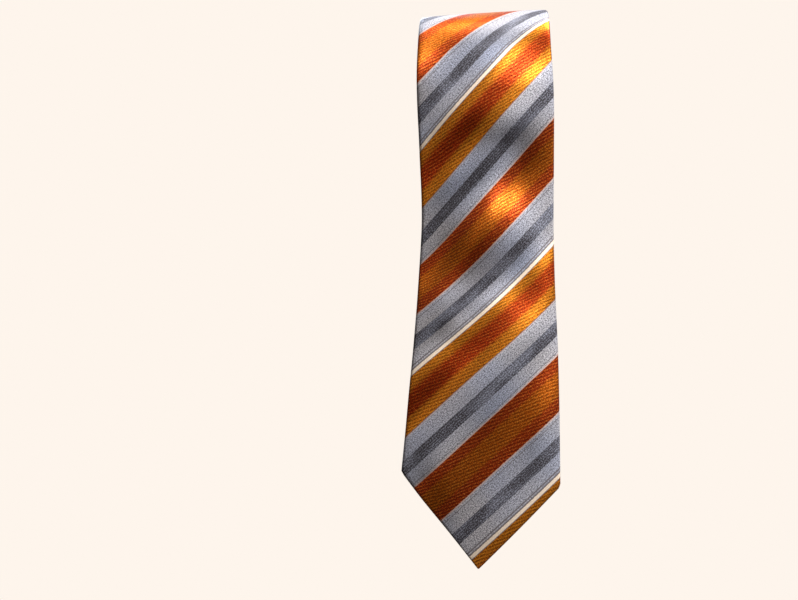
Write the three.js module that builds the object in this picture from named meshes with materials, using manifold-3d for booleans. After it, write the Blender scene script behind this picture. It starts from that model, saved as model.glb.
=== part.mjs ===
// A striped necktie, folded in half and hung over a rail, as an assembly of its sewn pieces.
// Millimetres. +X is to the right of someone who faces the wide blade, +Y points away from them and
// +Z is up. The origin is on the rail's axis, in the middle of the tie. The rail isn't part of the tie.
import * as THREE from "three";
import { mergeVertices } from "three/addons/utils/BufferGeometryUtils.js";
import Module from "manifold-3d";

const wasm = await Module();
wasm.setup();

// ---------------------------------------------------------------- driving dimensions
const railRadius = 10;
const railSlope = 0.063; // the rail's rise per millimetre towards +X
const railSlopeFade = 80; // the rail's slope is gone this far down each hanging length
const fit = 0.3; // clearance between pieces that lie on each other
const layerGap = 1.6; // room between the wide blade and what hangs inside it

const cloth = 0.5; // woven outer cloth
const felt = 1.3; // interlining
const lining = 0.3; // tipping

const bladeDrop = 333.6; // rail axis down to the wide blade's point
const tailDrop = 322; // rail axis down to the narrow blade's point
const neckDrop = 303; // rail axis down to the fold of the neck

const bladeWidth = 101.4; // across the wide tip's corners
const railBackWidth = 77.2; // where the wide blade leaves the rail at the back
const neckWidth = 44; // at the top of the neck's fold
const neckFoldWidth = 40;
const tailRailWidth = 38.6; // where the narrow blade passes over the rail
const tailWidth = 46; // across the narrow tip's corners

const cornerRiseLeft = 61; // the wide tip's two corners above its point
const cornerRiseRight = 51.6;
const pointX = -3.8; // the wide point hangs a little to the left
const tailCornerRise = 25;
const tailPointX = -1.5;
const pointWidth = 1; // a sewn point is this blunt

const hem = 3; // cloth turned over the back of a tip
const barTackRise = 46; // bar tack above the wide blade's corners
const tailBarTackRise = 22;
const tippingTuck = 12; // lining tucked in under the flaps above a bar tack
const seamGap = 1; // slit between the back flaps, where the slip stitch runs
const threadRadius = 0.2;

const neckBulge = 2.3; // the soft fold of the neck stands this far out of the layers above it
const neckFoldRise = 26; // the fold opens over this height
const wideSeamDrop = 232; // middle of the slanted seam from wide blade to neck piece
const narrowSeamDrop = 92; // middle of the slanted seam from neck piece to narrow blade
const seamReach = 34; // the ends of a slanted seam lie within this height of its middle

const keeperDrop = 112;
const keeper = { height: 13, thickness: 0.8, foot: 8, sideRoom: 2, rise: 3 };
const tackSize = { width: 1.4, height: 10, thickness: 0.4 };
const makerLabelSize = { width: 58, height: 24, thickness: 0.35 };
const makerLabelGap = 9; // below the keeper
const careLabelSize = { width: 13, height: 26, thickness: 0.3 };
const careLabelGap = 2.5; // below the maker's label and beside the narrow blade
const barTackSize = { width: 8, height: 1.4, thickness: 0.5 };
const spareLoopSize = { width: 5, height: 15, drop: 4 };

// The wide blade's edges from its corners up to the rail: how far up, and each edge as a share of the width.
const frontOutline = [
  { up: 0, left: -0.522, right: 0.478 },
  { up: 0.17, left: -0.478, right: 0.471 },
  { up: 0.31, left: -0.441, right: 0.462 },
  { up: 0.45, left: -0.414, right: 0.444 },
  { up: 0.59, left: -0.394, right: 0.435 },
  { up: 0.75, left: -0.408, right: 0.437 },
  { up: 0.88, left: -0.421, right: 0.434 },
  { up: 1, left: -0.417, right: 0.414 },
];

// ---------------------------------------------------------------- worked-out places
const bladeThickness = 2 * cloth + felt + lining + 3 * fit;
const tailFace = railRadius + fit; // the narrow blade's face lies on the rail
const tailBack = tailFace + bladeThickness;
const wideBack = tailBack + layerGap;
const wideFace = wideBack + bladeThickness;
const splitY = (tailBack + wideBack) / 2; // between the two layers behind the rail

// Depths below the face of either blade.
const feltTop = cloth + fit;
const feltBottom = feltTop + felt;
const liningTop = feltBottom + fit;
const liningBottom = liningTop + lining;
const flapTop = liningBottom + fit;
const insideInset = cloth + fit; // what lies in the envelope keeps this far from its edges

// The face of the cloth seen from the side, in one line from the wide point to the narrow point.
// What lies inside the tie is on the right of the direction of travel.
const at = (y, z) => new THREE.Vector2(y, z);
const foldCentre = (wideFace + tailFace) / 2;
const foldRadius = (wideFace - tailFace) / 2 + neckBulge;
const foldCorner = foldRadius * Math.SQRT1_2;
const foldMiddle = foldRadius - neckDrop;
const foldTop = neckFoldRise - neckDrop;
const faceLine = new THREE.CurvePath();
faceLine.add(new THREE.LineCurve(at(-wideFace, -bladeDrop), at(-wideFace, 0)));
faceLine.add(new THREE.EllipseCurve(0, 0, wideFace, wideFace, Math.PI, 0, true));
faceLine.add(new THREE.LineCurve(at(wideFace, 0), at(wideFace, foldTop)));
faceLine.add(
  new THREE.SplineCurve([
    at(wideFace, foldTop),
    at(foldCentre + foldRadius, foldMiddle + 2),
    at(foldCentre + foldCorner, foldMiddle - foldCorner),
    at(foldCentre, -neckDrop),
    at(foldCentre - foldCorner, foldMiddle - foldCorner),
    at(foldCentre - foldRadius, foldMiddle + 2),
    at(tailFace, foldTop),
  ]),
);
faceLine.add(new THREE.LineCurve(at(tailFace, foldTop), at(tailFace, 0)));
faceLine.add(new THREE.EllipseCurve(0, 0, tailFace, tailFace, 0, Math.PI, false));
faceLine.add(new THREE.LineCurve(at(-tailFace, 0), at(-tailFace, -tailDrop)));

// Distances along that line from the wide point to the end of each length.
const [frontEnd, railEnd, backEnd, foldEnd, innerEnd, innerRailEnd, tailEnd] = faceLine.getCurveLengths();
const tailCorner = tailEnd - tailCornerRise;
const wideSeam = railEnd + wideSeamDrop;
const narrowSeam = innerEnd - narrowSeamDrop;
const wideMeets = Math.max(cornerRiseLeft, cornerRiseRight) + barTackRise; // where the back flaps meet
const tailMeets = tailCorner - tailBarTackRise;

// The side-view point at a distance along the tie, at a depth below its face.
function placeOnLine(s, depth) {
  const share = THREE.MathUtils.clamp(s / tailEnd, 0, 1);
  const point = faceLine.getPoint(share);
  const tangent = faceLine.getTangent(share);
  return at(point.x + tangent.y * depth, point.y - tangent.x * depth);
}

// How much of the rail's slope is left: all of it over the rail, none far below it.
function slopeShare(s) {
  const below = Math.max(0, -placeOnLine(s, 0).y);
  return Math.max(0, 1 - below / railSlopeFade);
}

// ---------------------------------------------------------------- edges, as x for a distance along the tie
function smoothEdge(stops) {
  const curve = new THREE.CubicInterpolant(
    stops.map((stop) => stop[0]),
    stops.map((stop) => stop[1]),
    1,
  );
  return (s) => curve.evaluate(s)[0];
}

function wideEdge(side, corner) {
  const stops = frontOutline.map((row) => [
    THREE.MathUtils.lerp(corner, frontEnd, row.up),
    bladeWidth * (side < 0 ? row.left : row.right),
  ]);
  stops.push([railEnd, (side * railBackWidth) / 2]);
  stops.push([backEnd, (side * neckWidth) / 2]);
  stops.push([foldEnd, (side * neckFoldWidth) / 2]);
  const edge = smoothEdge(stops);
  const tip = pointX + (side * pointWidth) / 2;
  return (s) => (s < corner ? THREE.MathUtils.lerp(tip, edge(corner), s / corner) : edge(s));
}
const wideEdges = [wideEdge(-1, cornerRiseLeft), wideEdge(1, cornerRiseRight)];

function tailEdge(side) {
  const edge = smoothEdge([
    [backEnd, (side * neckWidth) / 2],
    [foldEnd, (side * neckFoldWidth) / 2],
    [innerEnd, (side * tailRailWidth) / 2],
    [innerRailEnd, (side * tailRailWidth) / 2],
    [tailCorner, (side * tailWidth) / 2],
  ]);
  const tip = tailPointX + (side * pointWidth) / 2;
  const share = (s) => (s - tailCorner) / tailCornerRise;
  return (s) => (s > tailCorner ? THREE.MathUtils.lerp(edge(tailCorner), tip, share(s)) : edge(s));
}
const tailEdges = [tailEdge(-1), tailEdge(1)];

// The neck piece starts on the wide blade's taper and ends on the narrow blade's.
const neckEdges = [0, 1].map((side) => (s) => (s < backEnd ? wideEdges[side](s) : tailEdges[side](s)));
const middleOf = (edges, s) => (edges[0](s) + edges[1](s)) / 2;

// ---------------------------------------------------------------- solids
const straightStep = 24;
const bendStep = THREE.MathUtils.degToRad(11.25);
const bends = [
  { from: frontEnd, to: railEnd, step: wideFace * bendStep },
  { from: backEnd, to: foldEnd, step: foldRadius * bendStep * 1.4 },
  { from: innerEnd, to: innerRailEnd, step: tailFace * bendStep },
];
const creases = [cornerRiseLeft, cornerRiseRight, tailCorner];
creases.push(frontEnd - railSlopeFade, railEnd + railSlopeFade);
creases.push(innerEnd - railSlopeFade, innerRailEnd + railSlopeFade);
for (const bend of bends) creases.push(bend.from, bend.to);

// The distances along the tie at which a length of cloth needs a row of vertices.
function rows(from, to, extra) {
  const stops = [from, to, ...[...creases, ...extra].filter((s) => s > from && s < to)];
  stops.sort((a, b) => a - b);
  const all = [from];
  for (let i = 1; i < stops.length; i++) {
    const [start, end] = [stops[i - 1], stops[i]];
    const middle = (start + end) / 2;
    const bend = bends.find((each) => middle > each.from && middle < each.to);
    const count = Math.ceil((end - start) / (bend ? bend.step : straightStep));
    for (let k = 1; k <= count; k++) all.push(start + ((end - start) * k) / count);
  }
  return all;
}

function toSolid(geometry) {
  const bare = geometry.clone();
  bare.deleteAttribute("normal");
  bare.deleteAttribute("uv");
  const merged = mergeVertices(bare, 1e-4);
  const mesh = new wasm.Mesh({
    numProp: 3,
    vertProperties: merged.attributes.position.array,
    triVerts: new Uint32Array(merged.index.array),
  });
  return new wasm.Manifold(mesh);
}

function toGeometry(solid) {
  const mesh = solid.getMesh();
  const geometry = new THREE.BufferGeometry();
  geometry.setAttribute("position", new THREE.BufferAttribute(mesh.vertProperties, 3));
  geometry.setIndex(new THREE.BufferAttribute(mesh.triVerts, 1));
  geometry.computeVertexNormals();
  return geometry;
}

// A length of cloth or felt laid along the tie: a box bent to the face line, with its sides on two edges.
function band({ from, to, top, bottom, edges, inset = 0, extra = [] }) {
  const stops = rows(from, to, extra);
  const geometry = new THREE.BoxGeometry(1, 1, 1, 1, stops.length - 1, 1);
  const position = geometry.attributes.position;
  for (let i = 0; i < position.count; i++) {
    const s = stops[Math.round((position.getY(i) + 0.5) * (stops.length - 1))];
    const side = position.getX(i) < 0 ? 0 : 1;
    const x = edges[side](s) + (side ? -inset : inset);
    const place = placeOnLine(s, position.getZ(i) > 0 ? top : bottom);
    position.setXYZ(i, x, place.x, place.y + railSlope * slopeShare(s) * x);
  }
  return toSolid(geometry);
}

// The part of a tip's back that the flaps leave open: it starts above the point, widens to the corners
// and narrows again to where the flaps meet.
function tipOpening({ point, corners, meets, edges }) {
  const away = Math.sign(meets - point);
  const start = point + away * hem * 2;
  const inner = edges.map((edge, side) => {
    const out = side ? 1 : -1;
    const startX = edge(point) + out * hem * 0.2;
    const cornerX = edge(corners[side]) - out * hem;
    const meetX = middleOf(edges, meets) + (out * seamGap) / 2;
    return (s) => {
      const beforeCorner = (s - corners[side]) * away < 0;
      if (beforeCorner) return THREE.MathUtils.mapLinear(s, start, corners[side], startX, cornerX);
      return THREE.MathUtils.mapLinear(s, corners[side], meets, cornerX, meetX);
    };
  });
  return band({
    from: Math.min(start, meets),
    to: Math.max(start, meets),
    top: flapTop - fit,
    bottom: bladeThickness + 1,
    edges: inner,
    extra: corners,
  });
}

// The woven envelope of one length: closed at the face and the sides, with two back flaps that meet at
// the slip-stitched slit. An end that isn't a tip is open, because the same cloth goes on past it.
function envelope({ from, to, edges, tip }) {
  const held = edges.map((edge) => (s) => edge(THREE.MathUtils.clamp(s, from, to)));
  const inside = [tip?.point === from ? from + hem / 2 : from - 1, tip?.point === to ? to - hem / 2 : to + 1];
  const slit = [tip?.point === from ? tip.meets : from - 1, tip?.point === to ? tip.meets : to + 1];
  const cavity = band({
    from: inside[0],
    to: inside[1],
    top: cloth,
    bottom: flapTop,
    edges: held,
    inset: cloth,
  });
  const seam = band({
    from: slit[0],
    to: slit[1],
    top: flapTop - fit,
    bottom: bladeThickness + 1,
    edges: [(s) => middleOf(held, s) - seamGap / 2, (s) => middleOf(held, s) + seamGap / 2],
  });
  const shell = band({ from, to, top: 0, bottom: bladeThickness, edges }).subtract(cavity).subtract(seam);
  return tip ? shell.subtract(tipOpening({ ...tip, edges })) : shell;
}

// Everything below a seam line that falls, or rises, towards +X at 45 degrees, between two depths.
function belowSeam({ drop, falls, near, far }) {
  const reach = 2 * bladeWidth;
  const shape = new THREE.Shape();
  shape.moveTo(-reach, -drop + falls * reach);
  shape.lineTo(-reach, -drop - 3 * reach);
  shape.lineTo(reach, -drop - 3 * reach);
  shape.lineTo(reach, -drop - falls * reach);
  const geometry = new THREE.ExtrudeGeometry(shape, { depth: far - near, bevelEnabled: false });
  geometry.rotateX(Math.PI / 2);
  geometry.translate(0, far, 0);
  return toSolid(geometry);
}

// Everything above such a seam line, up to the top of the overlap that the two pieces were cut with.
function aboveSeam(seam) {
  const block = new THREE.BoxGeometry(2 * bladeWidth, seam.far - seam.near, 3 * seamReach);
  block.translate(0, (seam.near + seam.far) / 2, -seam.drop + seamReach / 2);
  return toSolid(block).subtract(belowSeam(seam));
}

// A flat sewn-on piece with rounded corners, its middle at (x, z), from y = near to near + thickness.
function plate(x, near, z, { width, height, thickness }, corner = 0.5) {
  const shape = new THREE.Shape();
  const [w, h] = [width / 2 - corner, height / 2 - corner];
  shape.absarc(w, -h, corner, -Math.PI / 2, 0, false);
  shape.absarc(w, h, corner, 0, Math.PI / 2, false);
  shape.absarc(-w, h, corner, Math.PI / 2, Math.PI, false);
  shape.absarc(-w, -h, corner, Math.PI, 1.5 * Math.PI, false);
  const geometry = new THREE.ExtrudeGeometry(shape, { depth: thickness, bevelEnabled: false, curveSegments: 2 });
  geometry.rotateX(Math.PI / 2);
  geometry.translate(x, near + thickness, z);
  return geometry;
}

// ---------------------------------------------------------------- finishes and assembly
const finish = {
  stripedCloth: { color: 0xc8681c, roughness: 0.45 },
  felt: { color: 0xe6e0d2, roughness: 0.95 },
  lining: { color: 0x6f7480, roughness: 0.35 },
  thread: { color: 0xb06a2c, roughness: 0.7 },
  label: { color: 0x2a2c33, roughness: 0.4 },
  careTape: { color: 0xf2f0ea, roughness: 0.6 },
};

const tie = new THREE.Group();
function add(name, shape, look) {
  const geometry = shape.isBufferGeometry ? shape : toGeometry(shape);
  const mesh = new THREE.Mesh(geometry, new THREE.MeshStandardMaterial({ ...look, metalness: 0 }));
  mesh.name = name;
  tie.add(mesh);
}

function addFelt(name, from, to, edges) {
  const strip = { from, to, top: feltTop, bottom: feltBottom, edges, inset: insideInset };
  add(name, band(strip), finish.felt);
}

function addTipping(name, from, to, edges) {
  const panel = { from, to, top: liningTop, bottom: liningBottom, edges, inset: insideInset };
  add(name, band(panel), finish.lining);
}

// The slip-stitch thread along the slit of one length.
function addSlipStitch(name, from, to, edges) {
  const run = {
    from,
    to,
    top: bladeThickness - cloth / 2 - threadRadius,
    bottom: bladeThickness - cloth / 2 + threadRadius,
    edges: [(s) => middleOf(edges, s) - threadRadius, (s) => middleOf(edges, s) + threadRadius],
  };
  add(name, band(run), finish.thread);
}

// ---------------------------------------------------------------- wide blade
const onFront = { from: 0, to: frontEnd - fit / 2 };
const overRail = { from: frontEnd + fit / 2, to: railEnd - fit / 2 };
const behindRail = railEnd + fit / 2;
const outerSeam = { drop: wideSeamDrop, falls: 1, near: splitY, far: wideFace + neckBulge + 1 };
const wideTip = { point: 0, corners: [cornerRiseLeft, cornerRiseRight], meets: wideMeets };

add("wide_blade_front", envelope({ ...onFront, edges: wideEdges, tip: wideTip }), finish.stripedCloth);
add("wide_blade_over_rail", envelope({ ...overRail, edges: wideEdges }), finish.stripedCloth);
const wideBackBlank = envelope({ from: behindRail, to: wideSeam + seamReach, edges: wideEdges });
add("wide_blade_back", wideBackBlank.subtract(belowSeam(outerSeam)), finish.stripedCloth);

addFelt("wide_interlining_front", hem, onFront.to, wideEdges);
addFelt("wide_interlining_over_rail", overRail.from, overRail.to, wideEdges);
addFelt("wide_interlining_back", behindRail, backEnd - fit, wideEdges);
addTipping("wide_tipping", hem, wideMeets + tippingTuck, wideEdges);

// ---------------------------------------------------------------- narrow blade
const innerBehindRail = innerEnd - fit / 2;
const innerOverRail = { from: innerEnd + fit / 2, to: innerRailEnd - fit / 2 };
const innerFront = { from: innerRailEnd + fit / 2, to: tailEnd };
const innerSeam = { drop: narrowSeamDrop, falls: -1, near: tailFace - 1, far: splitY };
const tailTip = { point: tailEnd, corners: [tailCorner, tailCorner], meets: tailMeets };

add("narrow_blade_front", envelope({ ...innerFront, edges: tailEdges, tip: tailTip }), finish.stripedCloth);
add("narrow_blade_over_rail", envelope({ ...innerOverRail, edges: tailEdges }), finish.stripedCloth);
const tailBackBlank = envelope({ from: narrowSeam - seamReach, to: innerBehindRail, edges: tailEdges });
add("narrow_blade_back", tailBackBlank.subtract(belowSeam(innerSeam)), finish.stripedCloth);

addFelt("narrow_interlining_front", innerFront.from, tailEnd - hem, tailEdges);
addFelt("narrow_interlining_over_rail", innerOverRail.from, innerOverRail.to, tailEdges);
addFelt("narrow_interlining_back", foldEnd + fit, innerBehindRail, tailEdges);
addTipping("narrow_tipping", tailMeets - tippingTuck, tailEnd - hem, tailEdges);

// ---------------------------------------------------------------- neck piece, between the two slanted seams
const seamAllowance = fit * Math.SQRT2;
const neckBlank = envelope({ from: wideSeam - seamReach, to: narrowSeam + seamReach, edges: neckEdges });
const cutAtWide = aboveSeam({ ...outerSeam, drop: wideSeamDrop + seamAllowance });
const cutAtNarrow = aboveSeam({ ...innerSeam, drop: narrowSeamDrop + seamAllowance });
add("neck_piece", neckBlank.subtract(cutAtWide).subtract(cutAtNarrow), finish.stripedCloth);
addFelt("neck_interlining", backEnd, foldEnd, neckEdges);

// ---------------------------------------------------------------- thread
addSlipStitch("wide_slip_stitch_front", wideMeets + fit, onFront.to, wideEdges);
addSlipStitch("wide_slip_stitch_over_rail", overRail.from, overRail.to, wideEdges);
addSlipStitch("wide_slip_stitch_back", behindRail, wideSeam - fit, wideEdges);
addSlipStitch("neck_slip_stitch", wideSeam + fit, narrowSeam - fit, neckEdges);
addSlipStitch("narrow_slip_stitch_back", narrowSeam + fit, innerBehindRail, tailEdges);
addSlipStitch("narrow_slip_stitch_over_rail", innerOverRail.from, innerOverRail.to, tailEdges);
addSlipStitch("narrow_slip_stitch_front", innerFront.from, tailMeets - fit, tailEdges);

const behindBlade = fit - wideBack; // the first free place behind the wide blade
const wideMiddle = middleOf(wideEdges, wideMeets);
const wideTackZ = wideMeets - bladeDrop + barTackSize.height;
add("wide_bar_tack", plate(wideMiddle, behindBlade, wideTackZ, barTackSize), finish.thread);

const beforeTail = -tailBack - fit - barTackSize.thickness;
const tailTackZ = innerRailEnd - tailMeets + barTackSize.height;
add("narrow_bar_tack", plate(middleOf(tailEdges, tailMeets), beforeTail, tailTackZ, barTackSize), finish.thread);

// The spare end of the slip stitch is a small loop that lies on the tipping, under the bar tack.
const spareLoop = new THREE.TorusGeometry(spareLoopSize.width / 2, threadRadius, 6, 24);
spareLoop.scale(1, spareLoopSize.height / spareLoopSize.width, 1);
spareLoop.rotateX(Math.PI / 2);
const spareLoopZ = wideMeets - bladeDrop - spareLoopSize.height / 2 - spareLoopSize.drop;
spareLoop.translate(wideMiddle, -wideFace + flapTop + threadRadius, spareLoopZ);
add("spare_thread_loop", spareLoop, finish.thread);

// ---------------------------------------------------------------- keeper loop, which the narrow blade hangs through
const keeperX = middleOf(tailEdges, innerRailEnd + keeperDrop);
const tailHalf = tailEdges[1](innerRailEnd + keeperDrop) - keeperX;
const bridgeHalf = tailHalf + keeper.sideRoom;
const rampHalf = bridgeHalf + keeper.rise;
const keeperHalf = rampHalf + keeper.foot;
const bridgeTop = fit - tailFace + keeper.thickness;
const footTop = behindBlade + keeper.thickness;
const strap = new THREE.Shape();
strap.moveTo(-keeperHalf, behindBlade);
strap.lineTo(-rampHalf, behindBlade);
strap.lineTo(-bridgeHalf, bridgeTop - keeper.thickness);
strap.lineTo(bridgeHalf, bridgeTop - keeper.thickness);
strap.lineTo(rampHalf, behindBlade);
strap.lineTo(keeperHalf, behindBlade);
strap.lineTo(keeperHalf, footTop);
strap.lineTo(rampHalf + keeper.thickness / 2, footTop);
strap.lineTo(bridgeHalf + keeper.thickness / 2, bridgeTop);
strap.lineTo(-bridgeHalf - keeper.thickness / 2, bridgeTop);
strap.lineTo(-rampHalf - keeper.thickness / 2, footTop);
strap.lineTo(-keeperHalf, footTop);
const keeperLoop = new THREE.ExtrudeGeometry(strap, { depth: keeper.height, bevelEnabled: false });
keeperLoop.translate(keeperX, 0, -keeperDrop - keeper.height / 2);
add("keeper_loop", keeperLoop, finish.stripedCloth);

const tackX = rampHalf + keeper.foot * 0.6;
add("keeper_tack_left", plate(keeperX - tackX, footTop + fit, -keeperDrop, tackSize), finish.thread);
add("keeper_tack_right", plate(keeperX + tackX, footTop + fit, -keeperDrop, tackSize), finish.thread);

// ---------------------------------------------------------------- labels, both blank
const makerLabelTop = -keeperDrop - keeper.height / 2 - makerLabelGap;
const makerLabelZ = makerLabelTop - makerLabelSize.height / 2;
add("maker_label", plate(keeperX, behindBlade, makerLabelZ, makerLabelSize), finish.label);

// The care label hangs free from its sewn top edge, beside the narrow blade.
const careLabelTop = makerLabelTop - makerLabelSize.height - careLabelGap;
const tailSide = tailEdges[1](innerRailEnd - careLabelTop + careLabelSize.height);
const careLabelX = tailSide + careLabelGap + careLabelSize.width / 2;
const careLabelZ = careLabelTop - careLabelSize.height / 2;
add("care_label", plate(careLabelX, behindBlade, careLabelZ, careLabelSize), finish.careTape);

export default tie;
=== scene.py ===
import math
from bisect import bisect_left

import bmesh
import bpy
from mathutils import Matrix, Vector


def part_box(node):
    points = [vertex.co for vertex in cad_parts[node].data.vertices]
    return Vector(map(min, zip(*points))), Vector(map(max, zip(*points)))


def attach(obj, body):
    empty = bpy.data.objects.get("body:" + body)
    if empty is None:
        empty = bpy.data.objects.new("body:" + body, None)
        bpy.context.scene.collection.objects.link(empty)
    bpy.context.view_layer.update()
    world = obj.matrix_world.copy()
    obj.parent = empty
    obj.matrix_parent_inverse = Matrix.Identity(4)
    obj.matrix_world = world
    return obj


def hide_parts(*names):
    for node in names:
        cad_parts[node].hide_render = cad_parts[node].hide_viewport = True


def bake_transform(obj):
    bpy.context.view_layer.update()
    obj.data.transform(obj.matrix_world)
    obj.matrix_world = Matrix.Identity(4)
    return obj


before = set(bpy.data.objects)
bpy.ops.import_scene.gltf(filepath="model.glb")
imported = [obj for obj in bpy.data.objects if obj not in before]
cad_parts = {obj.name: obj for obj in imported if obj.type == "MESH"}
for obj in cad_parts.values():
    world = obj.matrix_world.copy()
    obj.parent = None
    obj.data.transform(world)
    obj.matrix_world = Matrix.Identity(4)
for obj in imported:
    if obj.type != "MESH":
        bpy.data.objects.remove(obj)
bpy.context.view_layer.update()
mm = 0.001
tiny = 1e-6  # metres
scene = bpy.context.scene
print("frame loaded")


# the line that the tie follows, seen from the side
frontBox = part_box("wide_blade_front")
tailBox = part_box("narrow_blade_front")
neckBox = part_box("neck_piece")

hang = {
    "wideFace": -frontBox[0][1],  # rail axis to the outer face of the wide blade
    "tailFace": -tailBox[1][1],  # rail axis to the face of the narrow blade
    "bladeDrop": -frontBox[0][2],
    "tailDrop": -tailBox[0][2],
    "neckDrop": -neckBox[0][2],
    "neckFoldRise": 26 * mm,  # above the bottom fold, where the cloth starts to bulge
    "neckBulge": 2.3 * mm,  # each way
    "railSlope": 0.063,  # upward to the right
    "slopeFade": 80 * mm,  # below the rail, where that slope has gone
    "topRise": 1.14,  # the cloth stands a little higher than a round rail would hold it
    "lineStep": 0.25 * mm,
    "tangentReach": 0.6 * mm,
}
bladeThickness = frontBox[1][1] - frontBox[0][1]


def ease(value):
    value = min(1, max(0, value))
    return value * value * (3 - 2 * value)


def mix(a, b, share):
    return a + (b - a) * share


def makeSideLine():
    # points as (y, z) in one run from the wide point to the narrow point, and where each length ends
    wide, narrow = hang["wideFace"], hang["tailFace"]
    centre = (wide + narrow) / 2
    radius = (wide - narrow) / 2 + hang["neckBulge"]
    foldTop = hang["neckFoldRise"] - hang["neckDrop"]
    foldMiddle = radius - hang["neckDrop"]
    slack = foldTop - foldMiddle

    def bulgeOut(t):
        return Vector((mix(wide, centre + radius, ease(t)), foldTop - slack * t))

    def bulgeIn(t):
        return Vector((mix(centre - radius, narrow, ease(t)), foldMiddle + slack * t))

    def arc(y, z, reachY, reachZ):
        # half a turn round (y, z)
        return lambda t: Vector((y + reachY * math.cos(math.pi * t), z + reachZ * math.sin(math.pi * t)))

    lengths = [
        (hang["bladeDrop"], lambda t: Vector((-wide, -hang["bladeDrop"] * (1 - t)))),
        (math.pi * wide, arc(0, 0, -wide, wide)),
        (-foldTop, lambda t: Vector((wide, foldTop * t))),
        (slack, bulgeOut),
        (math.pi * radius, arc(centre, foldMiddle, radius, -radius)),
        (slack, bulgeIn),
        (-foldTop, lambda t: Vector((narrow, foldTop * (1 - t)))),
        (math.pi * narrow, arc(0, 0, narrow, narrow)),
        (hang["tailDrop"], lambda t: Vector((-narrow, -hang["tailDrop"] * t))),
    ]
    points, ends = [lengths[0][1](0)], []
    places = [0]
    for size, pointAt in lengths:
        count = math.ceil(size / hang["lineStep"])
        for i in range(1, count + 1):
            point = pointAt(i / count)
            places.append(places[-1] + (point - points[-1]).length)
            points.append(point)
        ends.append(places[-1])
    return points, places, ends


sidePoints, sidePlaces, sideEnds = makeSideLine()
frontEnd, railEnd, backEnd, _, _, foldEnd, innerEnd, innerRailEnd, tailEnd = sideEnds


def sidePoint(s):
    s = min(max(s, 0), tailEnd - tiny)
    i = max(1, bisect_left(sidePlaces, s))
    share = (s - sidePlaces[i - 1]) / (sidePlaces[i] - sidePlaces[i - 1])
    return sidePoints[i - 1].lerp(sidePoints[i], share)


def inward(s):
    # the direction from the face of the cloth to the back of the tie
    reach = hang["tangentReach"]
    tangent = (sidePoint(s + reach) - sidePoint(s - reach)).normalized()
    return Vector((tangent.y, -tangent.x))


def smoothThrough(stops, at):
    # a smooth curve through (place, value) stops
    if at <= stops[0][0]:
        return stops[0][1]
    if at >= stops[-1][0]:
        return stops[-1][1]
    i = next(k for k in range(1, len(stops)) if stops[k][0] >= at) - 1

    def slope(k):
        low, high = max(0, k - 1), min(len(stops) - 1, k + 1)
        return (stops[high][1] - stops[low][1]) / (stops[high][0] - stops[low][0])

    (a, va), (b, vb) = stops[i], stops[i + 1]
    t, gap = (at - a) / (b - a), b - a
    bend = (2 * t**3 - 3 * t**2 + 1) * va + (-2 * t**3 + 3 * t**2) * vb
    return bend + gap * ((t**3 - 2 * t**2 + t) * slope(i) + (t**3 - t**2) * slope(i + 1))


# the two blades
wideBlade = {
    "width": frontBox[1][0] - frontBox[0][0],
    "railBackWidth": 77.2 * mm,  # where it leaves the rail behind
    "neckWidth": 44 * mm,
    "neckFoldWidth": 40 * mm,
    "cornerRise": (61 * mm, 51.6 * mm),  # above the point, left and right
    "pointX": -3.8 * mm,
    "pointWidth": 1 * mm,
    "outline": [  # share of the way from a corner up to the rail, left and right as shares of the width
        (0, -0.522, 0.478),
        (0.17, -0.478, 0.471),
        (0.31, -0.441, 0.462),
        (0.45, -0.414, 0.444),
        (0.59, -0.394, 0.435),
        (0.75, -0.408, 0.437),
        (0.88, -0.421, 0.434),
        (1, -0.417, 0.414),
    ],
    "barTackRise": 46 * mm,  # above the higher corner
    "hemWidth": 8 * mm,
    "seamBelowRail": 232 * mm,  # the slanted seam to the neck piece
    "tipThickness": 0.46,  # as a share, because the interlining stops short of the tip
    "tipRun": 60 * mm,
}
narrowBlade = {
    "railWidth": 38.6 * mm,
    "width": tailBox[1][0] - tailBox[0][0],
    "cornerRise": 25 * mm,
    "pointX": -1.5 * mm,
    "pointWidth": 1 * mm,
    "barTackRise": 22 * mm,
    "hemWidth": 6 * mm,
    "seamBelowRail": 92 * mm,
    "tipThickness": 0.5,
    "tipRun": 34 * mm,
}
wideSeam = railEnd + wideBlade["seamBelowRail"]
narrowSeam = innerEnd - narrowBlade["seamBelowRail"]
wideMeets = max(wideBlade["cornerRise"]) + wideBlade["barTackRise"]
tailCorner = tailEnd - narrowBlade["cornerRise"]
tailMeets = tailCorner - narrowBlade["barTackRise"]


def wideStops(side):
    # places along the line, and how far to one side the edge lies there
    sign, corner, width = (-1, 1)[side], wideBlade["cornerRise"][side], wideBlade["width"]
    stops = [(mix(corner, frontEnd, row[0]), row[1 + side] * width) for row in wideBlade["outline"]]
    stops.append((railEnd, sign * wideBlade["railBackWidth"] / 2))
    stops.append((backEnd, sign * wideBlade["neckWidth"] / 2))
    stops.append((foldEnd, sign * wideBlade["neckFoldWidth"] / 2))
    return stops


def narrowStops(side):
    sign = (-1, 1)[side]
    return [
        (backEnd, sign * wideBlade["neckWidth"] / 2),
        (foldEnd, sign * wideBlade["neckFoldWidth"] / 2),
        (innerEnd, sign * narrowBlade["railWidth"] / 2),
        (innerRailEnd, sign * narrowBlade["railWidth"] / 2),
        (tailCorner, sign * narrowBlade["width"] / 2),
    ]


wideStopsBySide = [wideStops(0), wideStops(1)]
narrowStopsBySide = [narrowStops(0), narrowStops(1)]


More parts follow.
